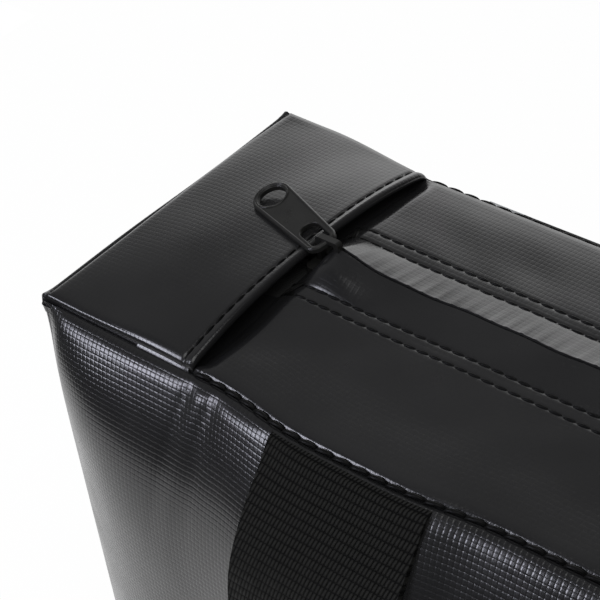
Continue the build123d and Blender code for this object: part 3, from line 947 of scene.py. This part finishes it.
def tab_outline(inset):
    """Outline of the tab's plate, this far inside its edge: a round end and a narrower rounded foot."""
    end_r, foot_r = TAB_END - inset, TAB_FOOT_ROUND - inset
    foot_x, foot_y = TAB_FOOT_ROUND - 0.5, TAB_FOOT - TAB_FOOT_ROUND
    gap = math.hypot(TAB_LENGTH - foot_x, foot_y)
    lean = math.asin((end_r - foot_r) / gap) - math.atan2(foot_y, TAB_LENGTH - foot_x)
    open_angle = math.pi / 2 + lean
    end = [(TAB_LENGTH + end_r * math.cos(a), end_r * math.sin(a))
           for a in np.linspace(-open_angle, open_angle, 40)]
    upper = [(foot_x + foot_r * math.cos(a), foot_y + foot_r * math.sin(a))
             for a in np.linspace(open_angle, math.pi, 14)]
    lower = [(x, -y) for x, y in upper[::-1]]
    return end + upper + lower


def tab_hole(grow):
    radius = TAB_HOLE + grow
    return [(TAB_LENGTH + radius * math.cos(a), radius * math.sin(a))
            for a in np.linspace(0, 2 * math.pi, 49)[:-1]]


def tab_window():
    """Window over the cross bar: square at the bar, round towards the free end."""
    half, side, start, corner = 2.4, 5.4, 0.6, 1.2
    arch = [(start + side + half * math.cos(a), half * math.sin(a))
            for a in np.linspace(-math.pi / 2, math.pi / 2, 24)]
    low = [(start + corner + corner * math.cos(a), half - corner + corner * math.sin(a))
           for a in np.linspace(math.pi / 2, math.pi, 8)]
    return arch + low + [(x, -y) for x, y in low[::-1]]


def outline_spline(curve, points):
    spline = curve.splines.new("POLY")
    spline.points.add(len(points) - 1)
    for point, (x, y) in zip(spline.points, points):
        point.co = (x * MM, y * MM, 0, 1)
    spline.use_cyclic_u = True


def mesh_from_curve(curve, name):
    holder = bpy.data.objects.new(name, curve)
    bpy.context.scene.collection.objects.link(holder)
    bpy.context.view_layer.update()
    mesh = bpy.data.meshes.new_from_object(holder)
    bpy.data.objects.remove(holder)
    return mesh


def build_tab():
    """The pressed plate, with a raised rim round its edge and its hole."""
    plate = bpy.data.curves.new("tab_plate", "CURVE")
    plate.dimensions = "2D"
    plate.fill_mode = "BOTH"
    plate.extrude = (TAB_THICK / 2 - TAB_BEVEL) * MM
    plate.bevel_depth = TAB_BEVEL * MM
    plate.bevel_resolution = 3
    for outline in (tab_outline(TAB_BEVEL), tab_hole(TAB_BEVEL), tab_window()):
        outline_spline(plate, outline)
    mesh = mesh_from_curve(plate, "tab_plate")
    rims = []
    for path, radius in ((tab_outline(0.42), 0.32), (tab_hole(0.45), 0.3)):
        line = np.array([(x, y, TAB_THICK / 2 - 0.08) for x, y in path])
        rims.append(tube(line, radius, sides=8, ring=True))
    points, faces = join(rims)
    start = len(mesh.vertices)
    all_points = [tuple(v.co) for v in mesh.vertices] + (points * MM).tolist()
    all_faces = [tuple(p.vertices) for p in mesh.polygons] + [tuple(start + i for i in f) for f in faces]
    whole = bpy.data.meshes.new("pull_tab_plate")
    whole.from_pydata(all_points, [], all_faces)
    whole.validate()
    whole.transform(tab_frame())
    whole.shade_smooth()
    whole.set_sharp_from_angle(angle=math.radians(50))
    piece = bpy.data.objects.new("pull_tab_plate", whole)
    bpy.context.scene.collection.objects.link(piece)
    piece.data.materials.append(METAL)
    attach(piece, "tab")
    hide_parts("pull_tab")


# ---- CAD nodes that stay: their finish ----
def dress_nodes():
    finishes = {"slider_body": METAL, "_stops": METAL, "_stop": METAL, "_padding": FOAM, "_lining": LINING}
    for name, node in frame["nodes"].items():
        for ending, material in finishes.items():
            if name.endswith(ending):
                node.data.materials.clear()
                node.data.materials.append(material)


# ---- Camera, lights and floor ----
CAMERA_ANGLES = (46.616, 38.563, -8.894)  # azimuth, elevation and roll, in degrees
CAMERA_AIM = (45.0 - SEAM_X, -10.09, TOP_Z)  # beside the zip, where the slider is
CAMERA_DISTANCE = 430.96
CAMERA_LENS = 129.4122
LIT_PLACE = (-0.08, -0.02, 0.14)  # what the lamps point at, in metres


def build_camera():
    azimuth, elevation, roll = (math.radians(a) for a in CAMERA_ANGLES)
    back = Vector((math.sin(azimuth) * math.cos(elevation), -math.cos(azimuth) * math.cos(elevation),
                   math.sin(elevation)))
    data = bpy.data.cameras.new("camera")
    data.sensor_width = 36.0
    data.lens = CAMERA_LENS
    data.clip_start = 0.01
    camera = bpy.data.objects.new("camera", data)
    bpy.context.scene.collection.objects.link(camera)
    level = (-back).cross(Vector((0, 0, 1))).normalized()
    level_up = level.cross(-back)
    right = level * math.cos(roll) + level_up * math.sin(roll)
    up = level_up * math.cos(roll) - level * math.sin(roll)
    matrix = Matrix((right, up, back)).transposed().to_4x4()
    place = (Vector(CAMERA_AIM) + back * CAMERA_DISTANCE) * MM
    camera.matrix_world = Matrix.Translation(place) @ matrix
    bpy.context.scene.camera = camera


def area_light(name, direction, distance, size, power, colour=(1, 1, 1)):
    data = bpy.data.lights.new(name, "AREA")
    data.shape = "RECTANGLE"
    data.size, data.size_y = size
    data.energy = power
    data.color = colour
    lamp = bpy.data.objects.new(name, data)
    bpy.context.scene.collection.objects.link(lamp)
    way = Vector(direction).normalized()
    lamp.location = Vector(LIT_PLACE) + way * distance
    lamp.rotation_mode = "QUATERNION"
    lamp.rotation_quaternion = way.to_track_quat("Z", "Y")


def mix_values(tree, share, low, high):
    """low where the share is 0, high where it is 1."""
    node = tree.nodes.new("ShaderNodeMix")
    node.data_type = "FLOAT"
    for slot, value in ((0, share), (2, low), (3, high)):
        plug(tree, value, node.inputs[slot])
    return node.outputs[0]


def build_world():
    """White to the camera. What shines sees a white sweep low behind the bag and a dimmer room elsewhere."""
    world = bpy.data.worlds.new("studio")
    bpy.context.scene.world = world
    world.use_nodes = True
    tree = world.node_tree
    node = partial(math_node, tree)
    path = tree.nodes.new("ShaderNodeLightPath")
    x_axis, y_axis, z_axis = axes_of(tree, "Generated")

    def towards(x, y):
        return node("ADD", node("MULTIPLY", x_axis, x), node("MULTIPLY", y_axis, y))

    fade = partial(map_range, tree, curve="SMOOTHSTEP")
    room = fade(towards(-0.73, 0.69), 0.1, 0.6, 0.05, 0.25)
    sweep = node("MULTIPLY", fade(z_axis, 0.32, 0.66, 1.35, 0.0),
                 fade(towards(-0.3, 0.954), 0.68, 0.87, 0.0, 1.0))
    mirrored = node("MAXIMUM", path.outputs["Is Glossy Ray"], path.outputs["Is Transmission Ray"])
    level = mix_values(tree, mirrored, 0.6, node("ADD", room, sweep))
    background = tree.nodes["Background"]
    background.inputs["Color"].default_value = (1, 1, 1, 1)
    plug(tree, mix_values(tree, path.outputs["Is Camera Ray"], level, 1.0), background.inputs["Strength"])


def build_floor():
    """A pale sheet under the bag. It glows where the camera or a mirror sees it."""
    near, right, far, step = -0.45, 0.9, 3.0, 0.2
    outline = [(near, near), (right, near), (right, far), (-far, far), (-far, step), (near, step)]
    mesh = bpy.data.meshes.new("floor")
    mesh.from_pydata([(x, y, 0) for x, y in outline], [], [tuple(range(len(outline)))])
    floor = bpy.data.objects.new("floor", mesh)
    bpy.context.scene.collection.objects.link(floor)
    floor.location.z = -0.0002
    material = bpy.data.materials.new("floor")
    material.use_nodes = True
    tree = material.node_tree
    tree.nodes.clear()
    output = tree.nodes.new("ShaderNodeOutputMaterial")
    diffuse = tree.nodes.new("ShaderNodeBsdfDiffuse")
    diffuse.inputs["Color"].default_value = (0.85, 0.85, 0.85, 1)
    glow = tree.nodes.new("ShaderNodeEmission")
    glow.inputs["Strength"].default_value = 1.0
    path = tree.nodes.new("ShaderNodeLightPath").outputs
    seen = math_node(tree, "MAXIMUM", path["Is Camera Ray"], path["Is Glossy Ray"])
    seen = math_node(tree, "MAXIMUM", seen, path["Is Transmission Ray"])
    mix = tree.nodes.new("ShaderNodeMixShader")
    tree.links.new(math_node(tree, "MULTIPLY", seen, 0.96), mix.inputs[0])
    tree.links.new(diffuse.outputs[0], mix.inputs[1])
    tree.links.new(glow.outputs[0], mix.inputs[2])
    tree.links.new(mix.outputs[0], output.inputs[0])
    mesh.materials.append(material)


def build_lights():
    area_light("softbox", (-0.57, -0.67, 0.46), 0.9, (0.28, 0.24), 3.4, (0.86, 0.87, 1.0))
    area_light("ceiling", (0.2, -0.3, 1.0), 1.2, (0.9, 0.9), 6.0)


build_camera()
build_world()
build_floor()
build_lights()
build_walls()
for mirror in (False, True):
    build_yoke(mirror)
    build_yoke_stitches(mirror)
    build_end_roll(mirror)
build_flaps()
build_seam_stitches()
for side in ("front", "back"):
    build_handle(side)
build_tab()
dress_nodes()
bpy.context.scene.view_settings.view_transform = "Standard"
